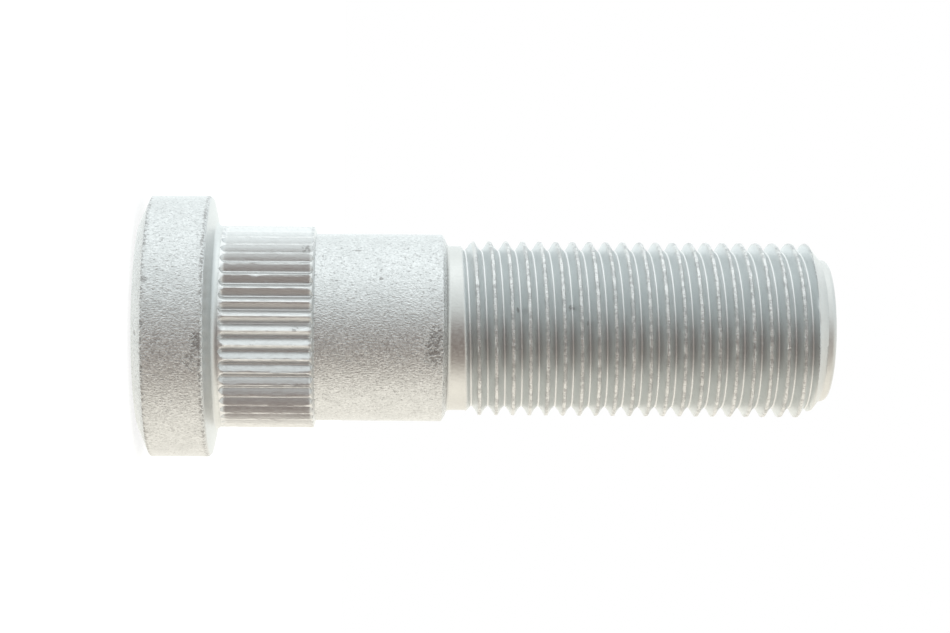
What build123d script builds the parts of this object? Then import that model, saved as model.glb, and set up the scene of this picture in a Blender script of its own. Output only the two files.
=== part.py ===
from build123d import *
import math
import os

# Press-in wheel bolt, turned and rolled from one bar, in millimetres.
# It stands on the flat back of its head, with +Z along the bolt towards the thread.

# Head
head_diameter = 23.5
head_rim_height = 6.36
head_back_diameter = 19.0
head_back_bevel_height = 1.0
head_edge_break = 0.2
head_underside_angle = 12.0
head_neck_fillet = 0.8

# Splined neck, pressed into the hub
spline_diameter = 18.14
spline_length = 8.87
spline_count = 45
spline_depth = 0.5
spline_groove_angle = 90.0
spline_collar_length = 0.05
spline_runout_length = 0.95
spline_end_bevel_height = 0.2

# Plain shank
shank_diameter = 16.83
shank_length = 11.75
shank_end_bevel_height = 0.5

# Relief between the shank and the thread
relief_diameter = 14.8
relief_length = 1.6
relief_corner_radius = 0.4

# Thread, as its outer cylinder
thread_diameter = 15.7
thread_length = 31.71
thread_start_angle = 30.0
thread_end_angle = 52.5

# Nose
nose_base_diameter = 12.86
nose_end_diameter = 12.6
nose_length = 0.79
nose_corner_radius = 0.45

# How far the groove cutter stands out of the crests
cutter_overlap = 0.05

# Radii
head_radius = head_diameter / 2
head_back_radius = head_back_diameter / 2
spline_radius = spline_diameter / 2
shank_radius = shank_diameter / 2
relief_radius = relief_diameter / 2
thread_radius = thread_diameter / 2
nose_base_radius = nose_base_diameter / 2
nose_end_radius = nose_end_diameter / 2


def rise(step, angle):
    """Height that a cone needs to change its radius by step, at an angle to the axis."""
    return step / math.tan(math.radians(angle))


def underside_height(radius):
    """Height of the head's conical underside at a radius."""
    slope = math.tan(math.radians(head_underside_angle))
    return head_rim_height + (head_radius - radius) * slope


# Heights, stacked from the back of the head
spline_start = underside_height(spline_radius)
neck_fillet_half_angle = math.radians((90 + head_underside_angle) / 2)
neck_fillet_end = spline_start + head_neck_fillet / math.tan(neck_fillet_half_angle)
spline_end = spline_start + spline_length
shank_end = spline_end + shank_length
thread_start = shank_end + relief_length
thread_end = thread_start + thread_length
nose_end = thread_end + nose_length
thread_full_start = thread_start + rise(thread_radius - relief_radius, thread_start_angle)
thread_full_end = thread_end - rise(thread_radius - nose_base_radius, thread_end_angle)


def bolt_blank():
    """The turned form: each corner is a radius, a height and a corner radius."""
    edge_radius = head_radius - head_edge_break
    corners = [
        (0, 0, 0),
        (head_back_radius, 0, 0),
        (head_radius, head_back_bevel_height, 0),
        (head_radius, head_rim_height - head_edge_break, 0),
        (edge_radius, underside_height(edge_radius), 0),
        (spline_radius, spline_start, head_neck_fillet),
        (spline_radius, spline_end - spline_end_bevel_height, 0),
        (shank_radius, spline_end, 0),
        (shank_radius, shank_end - shank_end_bevel_height, 0),
        (relief_radius, shank_end, relief_corner_radius),
        (relief_radius, thread_start, relief_corner_radius),
        (thread_radius, thread_full_start, 0),
        (thread_radius, thread_full_end, 0),
        (nose_base_radius, thread_end, 0),
        (nose_end_radius, nose_end, nose_corner_radius),
        (0, nose_end, 0),
    ]
    points = [(radius, height) for radius, height, _ in corners]
    rounding = [corner for _, _, corner in corners]
    outline = FilletPolyline(points, radius=rounding, close=True)
    return revolve(Plane.XZ * make_face(outline), Axis.Z)


def spline_groove():
    """Cutter for one V groove, which fades out to a point just short of the head's fillet."""
    root_radius = spline_radius - spline_depth
    outer_radius = spline_radius + cutter_overlap
    half_width = (outer_radius - root_radius) * math.tan(math.radians(spline_groove_angle / 2))
    fade_end = neck_fillet_end + spline_collar_length
    full_depth_start = fade_end + spline_runout_length
    overlap_run = spline_runout_length * cutter_overlap / spline_depth
    point_height = fade_end - overlap_run
    vee = Polyline(
        (root_radius, 0),
        (outer_radius, half_width),
        (outer_radius, -half_width),
        close=True,
    )
    section = Plane.XY.offset(full_depth_start) * make_face(vee)
    straight = extrude(section, amount=spline_end - full_depth_start)
    runout = loft([section.face(), Vertex(outer_radius, 0, point_height)])
    return straight + runout


def wheel_bolt():
    """The blank with its ring of splines rolled in, a crest facing +X."""
    groove = spline_groove()
    half_pitch = 180 / spline_count
    places = PolarLocations(0, spline_count, start_angle=half_pitch)
    return bolt_blank() - [place * groove for place in places]


os.makedirs("parts", exist_ok=True)
bolt = wheel_bolt()
bolt.label = "wheel_bolt"
export_step(bolt, "parts/wheel_bolt.step")
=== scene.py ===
"""Looks of a press-in wheel bolt: its rolled thread and splines, its zinc coat and a plain studio."""

import logging
import math
from dataclasses import dataclass, field
from enum import Enum

import bmesh
import bpy
from mathutils import Matrix, Vector, noise


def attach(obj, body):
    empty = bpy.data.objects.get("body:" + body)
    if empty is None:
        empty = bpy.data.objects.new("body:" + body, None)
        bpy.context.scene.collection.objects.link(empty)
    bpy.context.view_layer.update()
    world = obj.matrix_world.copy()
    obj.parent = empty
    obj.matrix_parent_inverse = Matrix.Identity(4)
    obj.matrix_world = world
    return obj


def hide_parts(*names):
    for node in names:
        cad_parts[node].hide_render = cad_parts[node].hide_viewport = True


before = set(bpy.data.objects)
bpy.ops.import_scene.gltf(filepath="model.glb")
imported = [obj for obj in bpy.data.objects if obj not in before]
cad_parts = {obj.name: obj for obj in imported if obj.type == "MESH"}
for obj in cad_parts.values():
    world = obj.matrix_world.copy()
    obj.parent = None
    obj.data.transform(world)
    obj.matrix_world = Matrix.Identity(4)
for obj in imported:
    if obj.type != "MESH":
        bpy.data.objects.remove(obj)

LOG = logging.getLogger("wheel_bolt")
MM = 0.001
FULL_TURN = 2 * math.pi
SMOOTH_ANGLE = math.radians(38)
SAME_PLACE = 1e-5
SAME_HEIGHT = 1e-3
SAME_ANGLE = 1e-6

Colour = tuple[float, float, float]
Point = tuple[float, float, float]
Span = tuple[float, float]
Loop = list[bmesh.types.BMVert]
Socket = bpy.types.NodeSocket
Value = Socket | float
Paint = Socket | Colour


class Mask(Enum):
    """Surface masks that the mesh carries for its finish; the root mask carries a painted highlight."""

    CREST = "crest"
    ROOT = "root"
    EDGE = "edge"
    CALM = "calm"
    FLANK = "flank"


Marks = dict[Mask, float]


def jitter(place: Vector, size: float, seed: float) -> float:
    """Gives smooth irregular ups and downs over space.

    Args:
        place: A point in millimetres.
        size: The rough width of one up or down, in millimetres.
        seed: Sets one pattern apart from the others.

    Returns:
        A number from about -1 to 1.
    """
    return noise.noise(place / size + Vector((seed, 1.7 * seed, -0.6 * seed)))


def ease(value: float, low: float, high: float) -> float:
    """Gives 0 below low, 1 above high and a smooth step between them."""
    share = min(max((value - low) / (high - low), 0.0), 1.0)
    return share * share * (3 - 2 * share)


@dataclass(frozen=True)
class Wear:
    """Irregular wear in two layers, a broad one and a fine one over it."""

    broad: float
    broad_seed: float
    fine: float
    fine_seed: float
    fine_share: float = 0.6

    def at(self, place: Vector) -> float:
        """Gives the wear at a point, about as often above zero as below."""
        over = self.fine_share * jitter(place, self.fine, self.fine_seed)
        return jitter(place, self.broad, self.broad_seed) + over


class Skin:
    """The bolt's closed outer surface while it is built, in millimetres."""

    def __init__(self) -> None:
        """Starts with an empty mesh and one value per mask."""
        self.mesh = bmesh.new()
        self.masks = {mask: self.mesh.verts.layers.float.new(mask.value) for mask in Mask}

    def vertex(self, radius: float, angle: float, height: float, marks: Marks) -> bmesh.types.BMVert:
        """Adds one vertex.

        Args:
            radius: Its distance from the axis.
            angle: Its angle round the axis, in radians from +X.
            height: Its height above the back of the head.
            marks: The masks that aren't zero there.

        Returns:
            The new vertex.
        """
        vertex = self.mesh.verts.new((radius * math.cos(angle), radius * math.sin(angle), height))
        for mask, value in marks.items():
            vertex[self.masks[mask]] = value
        return vertex

    def ring(self, radius: float, height: float, count: int, marks: Marks) -> Loop:
        """Adds one round ring of vertices."""
        return [self.vertex(radius, FULL_TURN * k / count, height, marks) for k in range(count)]

    @staticmethod
    def angle(vertex: bmesh.types.BMVert) -> float:
        """Gives a vertex's angle round the axis, from 0 to a full turn."""
        turn = math.atan2(vertex.co.y, vertex.co.x) % FULL_TURN
        return 0.0 if turn > FULL_TURN - SAME_ANGLE else turn

    def bridge(self, low: Loop, high: Loop) -> None:
        """Joins two rings, with quads where their counts agree and triangles elsewhere.

        Args:
            low: The ring that comes first along the outline from the back to the nose.
            high: The ring that comes next.
        """
        if len(low) == len(high):
            for k in range(len(low)):
                after = (k + 1) % len(low)
                self.mesh.faces.new((low[k], low[after], high[after], high[k]))
            return
        below = sorted(low, key=self.angle)
        above = sorted(high, key=self.angle)
        turns_below = [self.angle(v) for v in below] + [FULL_TURN + self.angle(below[0])]
        turns_above = [self.angle(v) for v in above] + [FULL_TURN + self.angle(above[0])]
        i, j = 0, 0
        while i < len(below) or j < len(above):
            here, there = below[i % len(below)], above[j % len(above)]
            step_below = j == len(above) or (
                i < len(below) and turns_below[i + 1] <= turns_above[j + 1]
            )
            if step_below:
                i += 1
                self.mesh.faces.new((here, below[i % len(below)], there))
            else:
                j += 1
                self.mesh.faces.new((here, above[j % len(above)], there))

    def chain(self, loops: list[Loop]) -> None:
        """Joins each ring of a list to the next."""
        for low, high in zip(loops, loops[1:]):
            self.bridge(low, high)

    def cap(self, loop: Loop, faces_up: bool, steps: int = 4) -> None:
        """Closes a flat end with rings that shrink to a point on the axis.

        Args:
            loop: The ring round the flat end.
            faces_up: Whether the end looks along +Z.
            steps: The number of rings from the edge to the axis.
        """
        height = loop[0].co.z
        outer = loop
        for step in range(1, steps):
            share = 1 - step / steps
            inner = []
            for vertex in loop:
                inner.append(self.mesh.verts.new((vertex.co.x * share, vertex.co.y * share, height)))
            self.bridge(*((outer, inner) if faces_up else (inner, outer)))
            outer = inner
        middle = self.mesh.verts.new((0, 0, height))
        for k, vertex in enumerate(outer):
            after = outer[(k + 1) % len(outer)]
            self.mesh.faces.new((vertex, after, middle) if faces_up else (after, vertex, middle))

    def cut(self, height: float, keep_above: bool) -> Loop:
        """Cuts all that is built so far at a height and drops one side.

        Args:
            height: The height of the cut.
            keep_above: Whether the upper side stays.

        Returns:
            The ring of vertices along the cut, in order of angle.
        """
        bmesh.ops.bisect_plane(
            self.mesh,
            geom=self.mesh.verts[:] + self.mesh.edges[:] + self.mesh.faces[:],
            dist=SAME_PLACE,
            plane_co=(0, 0, height),
            plane_no=(0, 0, 1),
            clear_inner=keep_above,
            clear_outer=not keep_above,
        )
        rim = {
            vertex
            for edge in self.mesh.edges
            if edge.is_boundary
            for vertex in edge.verts
            if abs(vertex.co.z - height) < SAME_HEIGHT
        }
        return sorted(rim, key=self.angle)

    def finish(self, name: str) -> bpy.types.Object:
        """Makes the Blender object, in metres.

        Args:
            name: The object's name.

        Returns:
            The new object, linked to the scene.
        """
        open_edges = sum(1 for edge in self.mesh.edges if len(edge.link_faces) != 2)
        bmesh.ops.recalc_face_normals(self.mesh, faces=self.mesh.faces[:])
        bmesh.ops.scale(self.mesh, vec=(MM, MM, MM), verts=self.mesh.verts[:])
        data = bpy.data.meshes.new(name)
        self.mesh.to_mesh(data)
        self.mesh.free()
        data.shade_smooth()
        data.set_sharp_from_angle(angle=SMOOTH_ANGLE)
        piece = bpy.data.objects.new(name, data)
        bpy.context.scene.collection.objects.link(piece)
        triangles = sum(len(face.vertices) - 2 for face in data.polygons)
        LOG.info("%s: %d triangles, %d open edges", name, triangles, open_edges)
        return piece


@dataclass(frozen=True)
class Corner:
    """One corner of a turned outline, in millimetres."""

    radius: float
    height: float
    rounding: float = 0.0


@dataclass(frozen=True)
class Outline:
    """A turned outline with rounded corners."""

    corners: tuple[Corner, ...]
    arc_steps: int = 4
    support: float = 0.07

    def points(self) -> list[tuple[float, float]]:
        """Works out the outline's points.

        Returns:
            Pairs of radius and height, with arcs at the corners and a close ring beside each arc.
        """
        places = [Vector((c.radius, c.height)) for c in self.corners]
        found = [places[0]]
        for before, here, after, corner in zip(places, places[1:], places[2:], self.corners[1:]):
            if corner.rounding == 0:
                found.append(here)
                continue
            back, on = (before - here).normalized(), (after - here).normalized()
            half = back.angle(on) / 2
            reach = corner.rounding / math.tan(half)
            centre = here + (back + on).normalized() * (corner.rounding / math.sin(half))
            start, end = here + back * reach - centre, here + on * reach - centre
            found.append(centre + start + back * self.support)
            for step in range(self.arc_steps + 1):
                share = step / self.arc_steps
                spoke = (start * (1 - share) + end * share).normalized() * corner.rounding
                found.append(centre + spoke)
            found.append(centre + end + on * self.support)
        found.append(places[-1])
        return [(place.x, place.y) for place in found]


@dataclass
class Head:
    """The round head, from its flat back to the foot of the splined neck."""

    radius: float = 11.75
    back_radius: float = 9.5
    back_bevel: float = 1.0
    rim_height: float = 6.357
    edge_break: float = 0.2
    underside_slope: float = math.tan(math.radians(12))
    neck_radius: float = 9.07
    neck_fillet: float = 0.5
    back_flat: float = 0.6
    back_rounding: float = 0.16
    rim_rounding: float = 0.14
    edge_rounding: float = 0.06
    collar: float = 0.49
    columns: int = 300
    row_shares: tuple[float, ...] = (0.04, 0.1, 0.35, 0.65, 0.9, 0.96)
    long_row: float = 1.0
    edge_dents: float = 0.03
    dents: Wear = Wear(0.45, 3.0, 0.2, 8.0)
    pitted: Span = (0.05, 0.42)
    under_flank: float = 0.6

    def underside(self, radius: float) -> float:
        """Gives the height of the conical underside at a radius."""
        return self.rim_height + (self.radius - radius) * self.underside_slope

    def outline(self) -> Outline:
        """Gives the outline from the back to the neck."""
        front = self.rim_height - self.edge_break
        lip = self.radius - self.edge_break
        middle = (self.back_bevel + front) / 2
        foot = self.underside(self.neck_radius)
        return Outline(
            (
                Corner(self.back_radius - self.back_flat, 0.0),
                Corner(self.back_radius, 0.0, self.back_rounding),
                Corner(self.radius, self.back_bevel, self.rim_rounding),
                Corner(self.radius, middle),
                Corner(self.radius, front, self.edge_rounding),
                Corner(lip, self.underside(lip), self.edge_rounding),
                Corner(self.neck_radius, foot, self.neck_fillet),
                Corner(self.neck_radius, foot + self.collar),
            )
        )

    def edge_mark(self, radius: float, height: float) -> float:
        """Gives how near a point is to the two pitted edges of the rim."""
        front = self.rim_height - self.edge_break
        gap = min(
            math.hypot(radius - self.radius, height - self.back_bevel),
            math.hypot(radius - self.radius, height - front),
        )
        return 1 - ease(gap, *self.pitted)

    def build(self, skin: Skin) -> list[Loop]:
        """Adds the head's rings.

        Args:
            skin: The surface they go into.

        Returns:
            The rings from the back to the neck.
        """
        loops = []
        for radius, height in self.rows():
            edge = self.edge_mark(radius, height)
            marks = {Mask.EDGE: edge}
            if height > self.rim_height:
                marks |= {Mask.CALM: 1.0, Mask.FLANK: self.under_flank}
            loop = skin.ring(radius, height, self.columns, marks)
            for vertex in loop:
                dent = max(self.dents.at(vertex.co), 0.0)
                shrink = 1 - edge * self.edge_dents * dent / radius
                vertex.co.x *= shrink
                vertex.co.y *= shrink
            loops.append(loop)
        return loops

    def rows(self) -> list[tuple[float, float]]:
        """Gives the outline's points with a few more rows near the rim's edges."""
        rows: list[tuple[float, float]] = []
        for point in self.outline().points():
            if rows and rows[-1][0] == point[0] == self.radius:
                low, high = rows[-1][1], point[1]
                if high - low > self.long_row:
                    rows += [(self.radius, low + (high - low) * s) for s in self.row_shares]
            rows.append(point)
        return rows


@dataclass
class SplinedNeck:
    """The ring of rolled splines that is pressed into the hub."""

    radius: float = 9.07
    count: int = 45
    depth: float = 0.5
    least_depth: float = 0.003
    half_width: float = 1.06
    start: float = 7.43
    runout: float = 0.7
    runout_curve: float = 3.2
    runout_rows: int = 7
    rows: int = 26
    closing: float = 0.36
    closing_curve: float = 2.5
    closing_rows: int = 5
    closed_share: float = 0.55
    end: float = 15.8
    end_bevel: float = 0.2
    end_radius: float = 8.415
    bevel_rows: int = 8
    seen_bevel_rows: int = 5
    flank_top: Span = (0.82, 0.21)
    flank_foot: Span = (0.13, 0.9)
    root_edge: Span = (0.08, 0.96)
    worn: float = 0.055
    raggedness: float = 0.06
    ragged_size: float = 0.5
    lift_share: float = 0.5
    lift_size: float = 0.7
    stretch: float = 0.8
    crest_mark: float = 0.2
    crest_life: float = 0.3
    # Painted lightening: the least share of the painted highlight colour on every part of the splines,
    # which makes up for their dark reflections.
    painted_light_share: float = 0.75

    def heights(self) -> list[float]:
        """Gives the heights of the rings, closer together at both ends."""
        bevel = self.end - self.end_bevel
        full = self.start + self.runout
        last = bevel - self.closing
        lead = [self.start + self.runout * k / self.runout_rows for k in range(self.runout_rows)]
        straight = [full + (last - full) * k / self.rows for k in range(self.rows + 1)]
        shallow = [last + self.closing * k / self.closing_rows for k in range(1, self.closing_rows + 1)]
        seen = range(1, self.seen_bevel_rows + 1)
        return lead + straight + shallow + [bevel + self.end_bevel * k / self.bevel_rows for k in seen]

    def crest(self, height: float) -> float:
        """Gives the radius of the crests at a height."""
        past = max(height - (self.end - self.end_bevel), 0.0)
        return self.radius - past * (self.radius - self.end_radius) / self.end_bevel

    def groove(self, height: float) -> float:
        """Gives the depth of the grooves below the crests at a height."""
        short = 1 - min(max((height - self.start) / self.runout, 0.0), 1.0)
        grown = 1 - short**self.runout_curve
        near = 1 - min(max((self.end - self.end_bevel - height) / self.closing, 0.0), 1.0)
        grown *= 1 - (1 - self.closed_share) * near**self.closing_curve
        cut_away = self.radius - self.crest(height)
        return max(self.depth * grown - cut_away, self.least_depth)

    def ring(self, skin: Skin, height: float) -> Loop:
        """Adds one ring that follows the crests and grooves.

        Args:
            skin: The surface that it goes into.
            height: The height of the ring.

        Returns:
            The ring's vertices, nine to a spline.
        """
        crest, depth = self.crest(height), self.groove(height)
        pitch = FULL_TURN / self.count
        share = depth / self.depth
        loop = []
        for k in range(self.count):
            middle = (k + 0.5) * pitch
            spot = (crest * math.cos(middle), crest * math.sin(middle), height * self.stretch)
            left, right, lift = self.edges(Vector(spot), k, depth)
            stops = [(-pitch / 2, lift, 1.0, 0.0), (-left / crest, -self.worn * share, 1.0, 0.0)]
            for out, down, in_root in self.walls():
                stops.append((-out * left / crest, -down * depth, 0.0, in_root))
            for out, down, in_root in reversed(self.walls()):
                stops.append((out * right / crest, -down * depth, 0.0, in_root))
            stops.append((right / crest, -self.worn * share, 1.0, 0.0))
            for turn, drop, on_crest, in_root in stops:
                marks = {
                    Mask.CREST: self.crest_mark * on_crest,
                    # Painted highlight: the root mask here never falls below the neck's fixed share, so
                    # the whole splined neck is painted lighter.
                    Mask.ROOT: max(in_root, self.painted_light_share),
                    Mask.CALM: 1 - self.crest_life * on_crest,
                    Mask.FLANK: 1 - max(on_crest, in_root),
                }
                loop.append(skin.vertex(crest + drop, middle + turn, height, marks))
        return loop

    def walls(self) -> tuple[tuple[float, float, float], ...]:
        """Gives shares of the groove's half width and depth, and a root mask, down one wall."""
        return ((*self.flank_top, 0.0), (*self.flank_foot, 0.0), (*self.root_edge, 1.0))

    def edges(self, spot: Vector, k: int, depth: float) -> tuple[float, float, float]:
        """Makes one groove's two edges and the crest beside it a little irregular.

        Args:
            spot: The middle of the groove, at the crests' radius.
            k: The number of the groove.
            depth: The depth of the groove there.

        Returns:
            The groove's half width to its left and right, and the lift of the crest.
        """
        sway = self.raggedness * depth / self.depth
        left = depth * self.half_width + sway * jitter(spot, self.ragged_size, 20.0 + 3 * k)
        right = depth * self.half_width + sway * jitter(spot, self.ragged_size, 90.0 + 3 * k)
        lift = self.lift_share * sway * jitter(spot, self.lift_size, 40.0 + 5 * k)
        return left, right, lift

    def build(self, skin: Skin) -> list[Loop]:
        """Adds the splines' rings, from the head's side to the shank's."""
        return [self.ring(skin, height) for height in self.heights()]


@dataclass
class Shank:
    """The plain shank and the relief that follows it."""

    radius: float = 8.415
    start: float = 15.8
    end: float = 27.55
    end_bevel: float = 0.5
    step_radius: float = 7.9
    step_drop: float = 0.19
    relief_radius: float = 7.4
    relief_end: float = 28.05
    relief_rise: float = 0.04
    collar_width: float = 0.05
    collar_drop: float = 0.04
    bevel_rounding: float = 0.12
    step_rounding: float = 0.05
    relief_rounding: float = 0.38
    edge_mark: float = 0.6
    pitted: Span = (0.1, 0.5)
    coated_short: float = 0.1
    columns: int = 360

    def outline(self) -> Outline:
        """Gives the outline from the splines to the relief."""
        return Outline(
            (
                Corner(self.radius + self.collar_width, self.start - self.collar_drop),
                Corner(self.radius, self.start),
                Corner(self.radius, self.end - self.end_bevel, self.bevel_rounding),
                Corner(self.step_radius, self.end - self.step_drop, self.step_rounding),
                Corner(self.relief_radius, self.end - self.relief_rise, self.relief_rounding),
                Corner(self.relief_radius, self.relief_end),
            )
        )

    def build(self, skin: Skin) -> list[Loop]:
        """Adds the rings of the shank and the relief.

        Args:
            skin: The surface they go into.

        Returns:
            The rings from the splines to the thread, without the last, which the thread gives.
        """
        loops = []
        for radius, height in self.outline().points()[:-1]:
            corner = abs(height - (self.end - self.end_bevel / 2))
            marks = {
                Mask.EDGE: self.edge_mark * (1 - ease(corner, *self.pitted)),
                Mask.CALM: 1.0 if height > self.end - self.coated_short else 0.0,
            }
            loops.append(skin.ring(radius, height, self.columns, marks))
        return loops


@dataclass
class Thread:
    """The rolled right-hand thread, a strip that winds up the bolt."""

    pitch: float = 1.5
    crest_radius: float = 7.85
    root_radius: float = 7.01
    blank_radius: float = 7.4
    crest_height: float = 30.53
    groove_start: float = 28.72
    groove_full: float = 28.95
    crest_start: float = 29.15
    start_slope: float = math.tan(math.radians(30))
    low: float = 28.05
    high: float = 60.86
    nose_radius: float = 6.43
    end_slope: float = math.tan(math.radians(52.5))
    end_softness: float = 0.12
    columns: int = 168
    turns: int = 24
    turns_below: int = 3
    raggedness: float = 0.015
    wear: Wear = Wear(0.55, 5.0, 0.25, 12.0)
    wear_bias: float = 0.3
    sway: float = 0.06
    sway_size: float = 0.5
    sway_seeds: Span = (31.0, 67.0)
    shear: float = 0.02
    rim: Span = (0.02, 0.16)
    crest_pits: float = 0.45
    crest_life: float = 0.75

    def section(self) -> tuple[tuple[float, float, float, float], ...]:
        """Gives one pitch of the thread's form.

        Returns:
            Rows of height above the crest, radius, crest mask and root mask, which lays a painted
            highlight along the roots.
        """
        crest, root = self.crest_radius, self.root_radius
        return (
            (0.0, crest, 1.0, 0.0),
            (0.11, crest - 0.012, 1.0, 0.0),
            (0.155, crest - 0.07, 0.6, 0.0),
            (0.26, crest - 0.25, 0.0, 0.0),
            (0.44, root + 0.29, 0.0, 0.0),
            (0.655, root + 0.055, 0.0, 0.0),
            (0.695, root + 0.012, 0.0, 1.0),
            (0.75, root, 0.0, 1.0),
            (0.805, root + 0.012, 0.0, 1.0),
            (0.845, root + 0.055, 0.0, 0.0),
            (1.06, root + 0.29, 0.0, 0.0),
            (1.24, crest - 0.25, 0.0, 0.0),
            (1.345, crest - 0.07, 0.6, 0.0),
            (1.39, crest - 0.012, 1.0, 0.0),
        )

    def chamfer(self, height: float) -> float:
        """Gives the radius of the thread end's bevel at a height, with a soft foot."""
        above = self.high - height
        return self.nose_radius + self.end_slope * (above + math.hypot(above, self.end_softness)) / 2

    def place(
        self, skin: Skin, column: int, row: tuple[float, float, float, float]
    ) -> bmesh.types.BMVert:
        """Adds one vertex of the strip.

        Args:
            skin: The surface that it goes into.
            column: Its place along the strip.
            row: Its row of the section.

        Returns:
            The new vertex.
        """
        offset, radius, on_crest, in_root = row
        angle = FULL_TURN * column / self.columns
        base = self.crest_height - self.turns_below * self.pitch
        height = base + self.pitch * column / self.columns + offset
        spot = Vector((radius * math.cos(angle), radius * math.sin(angle), height))
        radius -= on_crest * self.raggedness * max(self.wear.at(spot) + self.wear_bias, 0.0)
        cut = ease(height, self.groove_start, self.groove_full)
        radius = max(radius, self.blank_radius + cut * (self.root_radius - self.blank_radius))
        blank = self.blank_radius + max(height - self.crest_start, 0.0) * self.start_slope
        bevel = self.chamfer(height)
        whole = 1 - ease(radius - min(blank, bevel), -self.shear, self.shear)
        rim = 1 - ease(abs(radius - bevel), *self.rim)
        radius = min(radius, blank, bevel)
        marks = {
            Mask.CREST: on_crest * whole,
            # Painted highlight along the thread's roots, where the grooves are cut.
            Mask.ROOT: in_root * cut * whole,
            Mask.EDGE: max(rim, self.crest_pits * on_crest * whole),
            Mask.CALM: 1 - max(self.crest_life * on_crest * whole, rim),
            Mask.FLANK: (1 - max(on_crest, in_root)) * whole * cut,
        }
        seed = self.sway_seeds[0 if offset < self.pitch / 2 else 1]
        height += on_crest * self.sway * jitter(spot, self.sway_size, seed)
        return skin.vertex(radius, angle, height, marks)

    def build(self, skin: Skin) -> tuple[Loop, Loop]:
        """Adds the strip and trims it level at both ends.

        Args:
            skin: The surface that it goes into, still empty.

        Returns:
            The rings at its lower and upper ends.
        """
        rows = self.section()
        last = self.turns * self.columns
        strip = [[self.place(skin, i, row) for row in rows] for i in range(last + 1)]
        top = {}
        for i in range(last - self.columns + 1, last + 1):
            offset, *rest = rows[0]
            top[i] = self.place(skin, i, (offset + self.pitch, *rest))
        for i in range(last):
            here, after = list(strip[i]), list(strip[i + 1])
            for k, column in ((i, here), (i + 1, after)):
                above = k + self.columns
                column.append(strip[above][0] if above <= last else top[k])
            for j in range(len(rows)):
                skin.mesh.faces.new((here[j], after[j], after[j + 1], here[j + 1]))
        return skin.cut(self.low, True), skin.cut(self.high, False)


@dataclass
class Nose:
    """The short plain nose past the thread."""

    base_radius: float = 6.43
    end_radius: float = 6.3
    start: float = 60.86
    length: float = 0.79
    rounding: float = 0.45
    arc_steps: int = 6
    gap: float = 0.03
    end_flat: float = 1.2
    columns: int = 168

    def build(self, skin: Skin) -> list[Loop]:
        """Adds the nose's rings, from the thread to its flat end."""
        end = self.start + self.length
        outline = Outline(
            (
                Corner(self.base_radius, self.start + self.gap),
                Corner(self.end_radius, end, self.rounding),
                Corner(self.end_radius - self.end_flat, end),
            ),
            arc_steps=self.arc_steps,
        )
        calm = {Mask.CALM: 1.0}
        return [skin.ring(radius, height, self.columns, calm) for radius, height in outline.points()]


@dataclass(frozen=True)
class Grain:
    """The settings of one noise: bumps per millimetre, layers and how rough they are."""

    scale: float
    detail: float
    rough: float


class Board:
    """Short ways to add and wire the nodes of one tree."""

    def __init__(self, tree: bpy.types.NodeTree) -> None:
        """Clears the tree."""
        self.tree = tree
        tree.nodes.clear()

    def node(self, kind: str, **settings: object) -> bpy.types.Node:
        """Adds a node and sets its properties."""
        made = self.tree.nodes.new(kind)
        for name, value in settings.items():
            setattr(made, name, value)
        return made

    def feed(self, target: Socket, value: Value | Colour) -> None:
        """Links a socket to an input, or sets the input to a plain value."""
        if isinstance(value, Socket):
            self.tree.links.new(value, target)
        else:
            target.default_value = value

    def math(self, operation: str, first: Value, second: Value) -> Socket:
        """Adds a sum of two values.

        Args:
            operation: The name of the sum.
            first: The first value.
            second: The second value.

        Returns:
            The result.
        """
        made = self.node("ShaderNodeMath", operation=operation)
        self.feed(made.inputs[0], first)
        self.feed(made.inputs[1], second)
        return made.outputs[0]

    def vector(self, operation: str, first: Socket, second: Point, out: str) -> Socket:
        """Adds a vector sum of a socket and a fixed vector, and gives the named output."""
        made = self.node("ShaderNodeVectorMath", operation=operation)
        self.feed(made.inputs[0], first)
        made.inputs[1].default_value = second
        return made.outputs[out]

    def span(self, value: Socket, over: Span, gives: Span = (0.0, 1.0)) -> Socket:
        """Maps a value smoothly from the ends of one span to the ends of another."""
        made = self.node("ShaderNodeMapRange", interpolation_type="SMOOTHSTEP")
        for socket, given in zip(made.inputs, (value, *over, *gives)):
            self.feed(socket, given)
        return made.outputs[0]

    def grain(self, place: Socket, grain: Grain) -> Socket:
        """Adds a noise and gives its value."""
        made = self.node("ShaderNodeTexNoise")
        self.feed(made.inputs["Vector"], place)
        made.inputs["Scale"].default_value = grain.scale
        made.inputs["Detail"].default_value = grain.detail
        made.inputs["Roughness"].default_value = grain.rough
        return made.outputs["Fac"]

    def blend(self, share: Value, first: Paint, second: Paint, mode: str = "MIX") -> Socket:
        """Mixes two colours.

        Args:
            share: How much of the second one shows.
            first: The first colour.
            second: The second colour.
            mode: How they mix.

        Returns:
            The mixed colour.
        """
        made = self.node("ShaderNodeMix", data_type="RGBA", blend_type=mode)
        self.feed(made.inputs[0], share)
        for socket, given in ((made.inputs[6], first), (made.inputs[7], second)):
            self.feed(socket, given if isinstance(given, Socket) else (*given, 1.0))
        return made.outputs[2]

    def ramp(self, value: Socket, stops: tuple[tuple[float, Colour], ...]) -> Socket:
        """Adds a colour ramp and gives its colour."""
        made = self.node("ShaderNodeValToRGB")
        self.feed(made.inputs[0], value)
        made.color_ramp.interpolation = "B_SPLINE"
        keys = made.color_ramp.elements
        while len(keys) < len(stops):
            keys.new(1.0)
        for key, (place, colour) in zip(keys, stops):
            key.position = place
            key.color = (*colour, 1.0)
        return made.outputs[0]

    def mask(self, mask: Mask) -> Socket:
        """Reads one of the mesh's masks."""
        return self.node("ShaderNodeAttribute", attribute_name=mask.value).outputs["Fac"]


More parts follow.
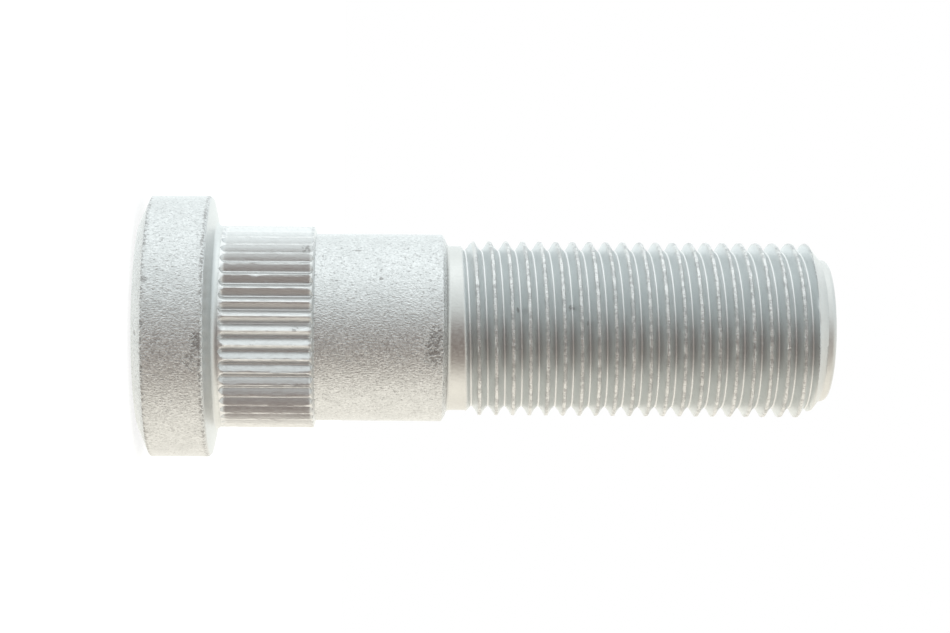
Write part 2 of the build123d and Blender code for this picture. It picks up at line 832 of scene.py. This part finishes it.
@dataclass(frozen=True)
class Stain:
    """A dark mark on the coat, by its angle round the bolt and its sizes in millimetres."""

    angle: float
    height: float
    radius: float
    width: float
    length: float
    strength: float
    fading: Span = (0.35, 1.0)

    def mask(self, board: Board, place: Socket) -> Socket:
        """Adds the mark's own mask, from 0 outside it to its strength in the middle."""
        turn = math.radians(self.angle)
        middle = (self.radius * math.cos(turn), self.radius * math.sin(turn), self.height)
        away = board.vector("SUBTRACT", place, middle, "Vector")
        shares = (1 / self.width, 1 / self.width, 1 / self.length)
        gap = board.vector("MULTIPLY", away, shares, "Vector")
        reach = board.vector("LENGTH", gap, (0, 0, 0), "Value")
        return board.span(reach, self.fading, (self.strength, 0.0))


@dataclass(frozen=True)
class ZincCoat:
    """A matt zinc coat, finely grained, with dark pits and worn light crests, and a painted highlight
    along the thread's roots and over the splines.
    """

    name: str = "zinc_coat"
    pale: Colour = (0.775, 0.78, 0.777)
    dull: Colour = (0.51, 0.515, 0.51)
    pit: Colour = (0.26, 0.25, 0.245)
    worn: Colour = (0.66, 0.66, 0.65)
    dull_crest: Colour = (0.47, 0.475, 0.47)
    painted_highlight: Colour = (0.7, 0.7, 0.695)
    bare: Colour = (0.585, 0.58, 0.56)
    rolled: Colour = (0.61, 0.63, 0.63)
    roughness: float = 0.33
    rolled_roughness: float = 0.37
    rough_change: Span = (-0.06, 0.08)
    rough_span: Span = (0.3, 0.7)
    bump: float = 0.08
    hole_depth: float = 0.5
    along_share: float = 0.58
    fine: Grain = Grain(1 / 0.14, 2.0, 0.6)
    fine_span: Span = (0.25, 0.75)
    broad: Grain = Grain(0.7, 3.0, 0.6)
    broad_span: Span = (0.35, 0.75)
    broad_share: float = 0.35
    pits: Grain = Grain(5.0, 2.0, 0.7)
    pit_span: Span = (0.62, 0.75)
    pit_share: float = 0.68
    hole_share: float = 0.75
    patch: Grain = Grain(0.45, 2.0, 0.5)
    patch_pits: float = 0.05
    edge_pits: float = 0.15
    stain_pits: float = 0.22
    crest_wear: Grain = Grain(1.3, 5.0, 0.7)
    crest_span: Span = (0.42, 0.56)
    calm_quiet: float = 0.82
    calm_tint: float = 0.85
    stains: tuple[Stain, ...] = (
        Stain(281.0, 26.4, 8.415, 3.0, 1.5, 0.95),
        Stain(276.0, 5.7, 11.75, 1.6, 0.7, 0.95),
        Stain(284.0, 5.2, 11.75, 1.2, 1.0, 0.75),
        Stain(250.0, 1.3, 11.75, 0.5, 0.35, 0.9),
        Stain(273.0, 0.4, 10.5, 0.35, 0.35, 1.2),
        Stain(220.0, 15.0, 9.0, 1.0, 0.75, 0.8),
        Stain(270.5, 14.2, 9.0, 0.45, 0.5, 0.9),
        Stain(205.0, 12.7, 9.07, 0.3, 0.4, 1.2),
        Stain(239.5, 21.6, 8.415, 0.2, 0.24, 1.5),
        Stain(216.3, 19.5, 8.415, 0.13, 0.6, 1.6),
        Stain(257.0, 33.65, 7.4, 0.4, 0.35, 1.4),
        Stain(255.0, 38.3, 7.4, 0.55, 0.45, 1.4),
        Stain(266.0, 39.8, 7.4, 0.45, 0.35, 1.4),
    )

    def material(self) -> bpy.types.Material:
        """Makes the material.

        Returns:
            The material, with its colour, roughness and bump from nodes.
        """
        made = bpy.data.materials.new(self.name)
        made.use_nodes = True
        board = Board(made.node_tree)
        output = board.node("ShaderNodeOutputMaterial")
        shader = board.node("ShaderNodeBsdfPrincipled")
        shader.inputs["Metallic"].default_value = 1.0
        board.feed(output.inputs["Surface"], shader.outputs["BSDF"])
        coordinates = board.node("ShaderNodeTexCoord").outputs["Object"]
        per_metre = 1 / MM
        place = board.vector("MULTIPLY", coordinates, (per_metre, per_metre, per_metre), "Vector")
        stretched = (per_metre, per_metre, per_metre * self.along_share)
        along = board.vector("MULTIPLY", coordinates, stretched, "Vector")
        calm = board.mask(Mask.CALM)
        lively = board.math("SUBTRACT", 1.0, board.math("MULTIPLY", calm, self.calm_quiet))
        fine = board.grain(along, self.fine)
        holes = self.holes(board, place, along, lively)

        tone = board.span(fine, self.fine_span, (1.0, 0.0))
        shade = board.blend(board.math("MULTIPLY", tone, lively), self.pale, self.dull)
        broad = board.span(board.grain(place, self.broad), self.broad_span, (0.0, self.broad_share))
        shade = board.blend(broad, shade, self.dull)
        shade = board.blend(board.math("MULTIPLY", calm, self.calm_tint), shade, self.bare)
        shade = board.blend(board.mask(Mask.FLANK), shade, self.rolled)
        ragged = board.span(board.grain(place, self.crest_wear), self.crest_span)
        crest = board.blend(ragged, self.dull_crest, self.worn)
        shade = board.blend(board.mask(Mask.CREST), shade, crest)
        # Painted highlight: the root mask lightens the thread's roots and the whole splined neck with
        # this colour.
        shade = board.blend(board.mask(Mask.ROOT), shade, self.painted_highlight)
        shade = board.blend(holes, shade, self.pit)
        board.feed(shader.inputs["Base Color"], shade)

        least, most = (self.roughness + change for change in self.rough_change)
        rough = board.span(fine, self.rough_span, (least, most))
        change = board.math("MULTIPLY", calm, self.rolled_roughness - self.roughness)
        board.feed(shader.inputs["Roughness"], board.math("ADD", rough, change))

        relief = board.math("SUBTRACT", fine, board.math("MULTIPLY", holes, self.hole_depth))
        relief = board.math("MULTIPLY", relief, lively)
        bump = board.node("ShaderNodeBump")
        bump.inputs["Strength"].default_value = 1.0
        bump.inputs["Distance"].default_value = self.bump * MM
        board.feed(bump.inputs["Height"], relief)
        board.feed(shader.inputs["Normal"], bump.outputs["Normal"])
        return made

    def holes(self, board: Board, place: Socket, along: Socket, lively: Socket) -> Socket:
        """Adds the mask of the dark pits, thicker on worn edges and in the stains.

        Args:
            board: The material's nodes.
            place: The point in millimetres.
            along: The same, stretched along the bolt.
            lively: How much grain the surface has.

        Returns:
            The mask, from 0 to the largest share of a pit's colour.
        """
        edge = board.mask(Mask.EDGE)
        dark = board.grain(along, self.pits)
        dark = board.math("ADD", dark, board.math("MULTIPLY", edge, self.edge_pits))
        patch = board.grain(place, self.patch)
        dark = board.math("ADD", dark, board.math("MULTIPLY", patch, self.patch_pits))
        marked = board.math("MAXIMUM", board.math("MULTIPLY", lively, self.pit_share), edge)
        for stain in self.stains:
            spot = stain.mask(board, place)
            dark = board.math("ADD", dark, board.math("MULTIPLY", spot, self.stain_pits))
            marked = board.math("MAXIMUM", marked, spot)
        marked = board.math("MULTIPLY", board.math("MINIMUM", marked, 1.0), self.hole_share)
        return board.math("MULTIPLY", board.span(dark, self.pit_span), marked)


@dataclass
class WheelBolt:
    """The whole bolt, one closed piece that stands for the CAD solid."""

    head: Head = field(default_factory=Head)
    neck: SplinedNeck = field(default_factory=SplinedNeck)
    shank: Shank = field(default_factory=Shank)
    thread: Thread = field(default_factory=Thread)
    nose: Nose = field(default_factory=Nose)
    coat: ZincCoat = field(default_factory=ZincCoat)

    def build(self) -> bpy.types.Object:
        """Builds the bolt's mesh.

        Returns:
            The bolt as one object.
        """
        skin = Skin()
        thread_low, thread_high = self.thread.build(skin)
        head = self.head.build(skin)
        shank = self.shank.build(skin)
        nose = self.nose.build(skin)
        skin.cap(head[0], faces_up=False)
        skin.chain([*head, *self.neck.build(skin), *shank, thread_low])
        skin.chain([thread_high, *nose])
        skin.cap(nose[-1], faces_up=True)
        return skin.finish("bolt_skin")

    def dress(self, piece: bpy.types.Object) -> None:
        """Gives the bolt its coat and ties it to the CAD body."""
        piece.data.materials.append(self.coat.material())
        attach(piece, "root")
        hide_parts("wheel_bolt")


@dataclass
class Surround:
    """The soft white studio round the bolt, darker on the viewer's side."""

    dark_side: Point = (0.375, -0.927, 0.0)
    cool: Colour = (0.985, 1.05, 1.06)
    warm: Colour = (1.05, 1.012, 0.918)
    ends: Colour = (0.82, 0.84, 0.86)
    white: Colour = (1.0, 1.0, 1.0)
    cool_to_warm: Span = (-0.45, 0.6)
    past_nose: Span = (0.45, 0.95)
    past_head: Span = (-0.9, -0.3)
    past_head_share: float = 0.35
    strength: float = 1.4
    levels: tuple[tuple[float, Colour], ...] = (
        (0.0, (1.0, 1.0, 1.0)),
        (0.4, (0.88, 0.88, 0.88)),
        (0.62, (0.86, 0.86, 0.86)),
        (0.75, (0.82, 0.82, 0.82)),
        (0.83, (0.75, 0.75, 0.75)),
        (0.9, (0.5, 0.485, 0.48)),
        (0.95, (0.295, 0.262, 0.262)),
        (1.0, (0.172, 0.142, 0.142)),
    )

    def build(self) -> None:
        """Makes the world, plain white to the camera."""
        world = bpy.data.worlds.new("studio")
        bpy.context.scene.world = world
        world.use_nodes = True
        board = Board(world.node_tree)
        ray = board.node("ShaderNodeLightPath")
        way = board.node("ShaderNodeTexCoord").outputs["Generated"]
        facing = board.vector("DOT_PRODUCT", way, self.dark_side, "Value")
        share = board.math("ADD", board.math("MULTIPLY", facing, 0.5), 0.5)
        level = board.ramp(share, self.levels)
        across = board.node("ShaderNodeSeparateXYZ")
        board.feed(across.inputs[0], way)
        side = board.span(across.outputs["X"], self.cool_to_warm)
        nose = board.span(across.outputs["Z"], self.past_nose)
        head = board.span(across.outputs["Z"], self.past_head, (self.past_head_share, 0.0))
        ends = board.blend(board.math("MAXIMUM", nose, head), self.white, self.ends)
        level = board.blend(1.0, level, ends, "MULTIPLY")
        tint = board.blend(side, self.cool, self.warm)
        glow = board.node("ShaderNodeBackground")
        board.feed(glow.inputs["Color"], board.blend(1.0, level, tint, "MULTIPLY"))
        glow.inputs["Strength"].default_value = self.strength
        plain = board.node("ShaderNodeBackground")
        plain.inputs["Color"].default_value = (*self.white, 1.0)
        plain.inputs["Strength"].default_value = 1.0
        choose = board.node("ShaderNodeMixShader")
        board.feed(choose.inputs[0], ray.outputs["Is Camera Ray"])
        board.feed(choose.inputs[1], glow.outputs[0])
        board.feed(choose.inputs[2], plain.outputs[0])
        output = board.node("ShaderNodeOutputWorld")
        board.feed(output.inputs["Surface"], choose.outputs[0])


@dataclass
class SoftBox:
    """A square soft lamp, placed and aimed in millimetres."""

    name: str
    place: Point
    aim: Point
    size: float
    power: float
    tint: Colour

    def build(self) -> None:
        """Makes the lamp."""
        data = bpy.data.lights.new(self.name, "AREA")
        data.size = self.size * MM
        data.energy = self.power
        data.color = self.tint
        lamp = bpy.data.objects.new(self.name, data)
        lamp.location = Vector(self.place) * MM
        way = (Vector(self.aim) - Vector(self.place)).normalized()
        lamp.rotation_mode = "QUATERNION"
        lamp.rotation_quaternion = way.to_track_quat("-Z", "Y")
        bpy.context.scene.collection.objects.link(lamp)


@dataclass
class Floor:
    """The pale floor under the bolt, which keeps its shadow."""

    half_width: float = 900.0
    drop: float = 0.02
    cells: int = 8
    paper: Colour = (0.9, 0.9, 0.9)
    glow: float = 0.62
    glow_strength: float = 1.2

    def build(self) -> bpy.types.Object:
        """Makes the floor.

        Returns:
            The floor.
        """
        mesh = bmesh.new()
        size = self.half_width * MM
        bmesh.ops.create_grid(mesh, x_segments=self.cells, y_segments=self.cells, size=size)
        data = bpy.data.meshes.new("floor")
        mesh.to_mesh(data)
        mesh.free()
        piece = bpy.data.objects.new("floor", data)
        piece.location.z = -self.drop * MM
        bpy.context.scene.collection.objects.link(piece)
        data.materials.append(self.material())
        return piece

    def material(self) -> bpy.types.Material:
        """Makes the floor's paper: white to the camera but for the shadow, clear to the metal."""
        made = bpy.data.materials.new("floor_paper")
        made.use_nodes = True
        board = Board(made.node_tree)
        ray = board.node("ShaderNodeLightPath")
        paper = board.node("ShaderNodeBsdfDiffuse")
        paper.inputs["Color"].default_value = (*self.paper, 1.0)
        glow = board.node("ShaderNodeEmission")
        glow.inputs["Strength"].default_value = self.glow_strength
        lit = board.node("ShaderNodeMixShader")
        share = board.math("MULTIPLY", ray.outputs["Is Camera Ray"], self.glow)
        board.feed(lit.inputs[0], share)
        board.feed(lit.inputs[1], paper.outputs[0])
        board.feed(lit.inputs[2], glow.outputs[0])
        clear = board.node("ShaderNodeBsdfTransparent")
        choose = board.node("ShaderNodeMixShader")
        board.feed(choose.inputs[0], ray.outputs["Is Glossy Ray"])
        board.feed(choose.inputs[1], lit.outputs[0])
        board.feed(choose.inputs[2], clear.outputs[0])
        output = board.node("ShaderNodeOutputMaterial")
        board.feed(output.inputs["Surface"], choose.outputs[0])
        return made


@dataclass
class Viewpoint:
    """The camera, turned on its side so that the standing bolt lies across the picture."""

    place: Point = (-1.0, -213.0, 22.4)
    aim: Point = (-1.0, 0.0, 22.4)
    roll: float = math.radians(0.42)
    lens: float = 89.35
    shift: float = 0.0895
    sensor: float = 36.0
    clip: Span = (0.005, 20.0)

    def build(self) -> None:
        """Makes the camera and sets it as the scene's own."""
        data = bpy.data.cameras.new("viewpoint")
        data.lens = self.lens
        data.shift_x = self.shift
        data.sensor_width = self.sensor
        data.clip_start, data.clip_end = self.clip
        camera = bpy.data.objects.new("viewpoint", data)
        bpy.context.scene.collection.objects.link(camera)
        back = (Vector(self.place) - Vector(self.aim)).normalized()
        up = Vector((-math.cos(self.roll), 0.0, -math.sin(self.roll)))
        right = up.cross(back).normalized()
        up = back.cross(right)
        turn = Matrix((right, up, back)).transposed()
        camera.matrix_world = Matrix.Translation(Vector(self.place) * MM) @ turn.to_4x4()
        bpy.context.scene.camera = camera


def corners(box: tuple[Vector, Vector]) -> list[list[float]]:
    """Gives a box's two corners as plain lists."""
    return [list(corner) for corner in box]


def main() -> None:
    """Builds the bolt, then the studio."""
    logging.basicConfig(level=logging.INFO, format="%(name)s: %(message)s")
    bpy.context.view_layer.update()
    bpy.context.scene.view_settings.view_transform = "Standard"
    bolt = WheelBolt()
    piece = bolt.build()
    bolt.dress(piece)
    Floor().build()
    Surround().build()
    boxes = (
        SoftBox(
            name="sky_panel",
            place=(-260.0, -30.0, 60.0),
            aim=(0.0, 0.0, 30.0),
            size=220.0,
            power=0.05,
            tint=(0.95, 0.98, 1.0),
        ),
        SoftBox(
            name="warm_panel",
            place=(260.0, -20.0, 60.0),
            aim=(0.0, 0.0, 30.0),
            size=220.0,
            power=0.035,
            tint=(1.0, 0.96, 0.86),
        ),
    )
    for lamp in boxes:
        lamp.build()
        LOG.info("lamp %s", lamp.name)
    Viewpoint().build()
    bpy.context.view_layer.update()


if __name__ == "__main__":
    main()
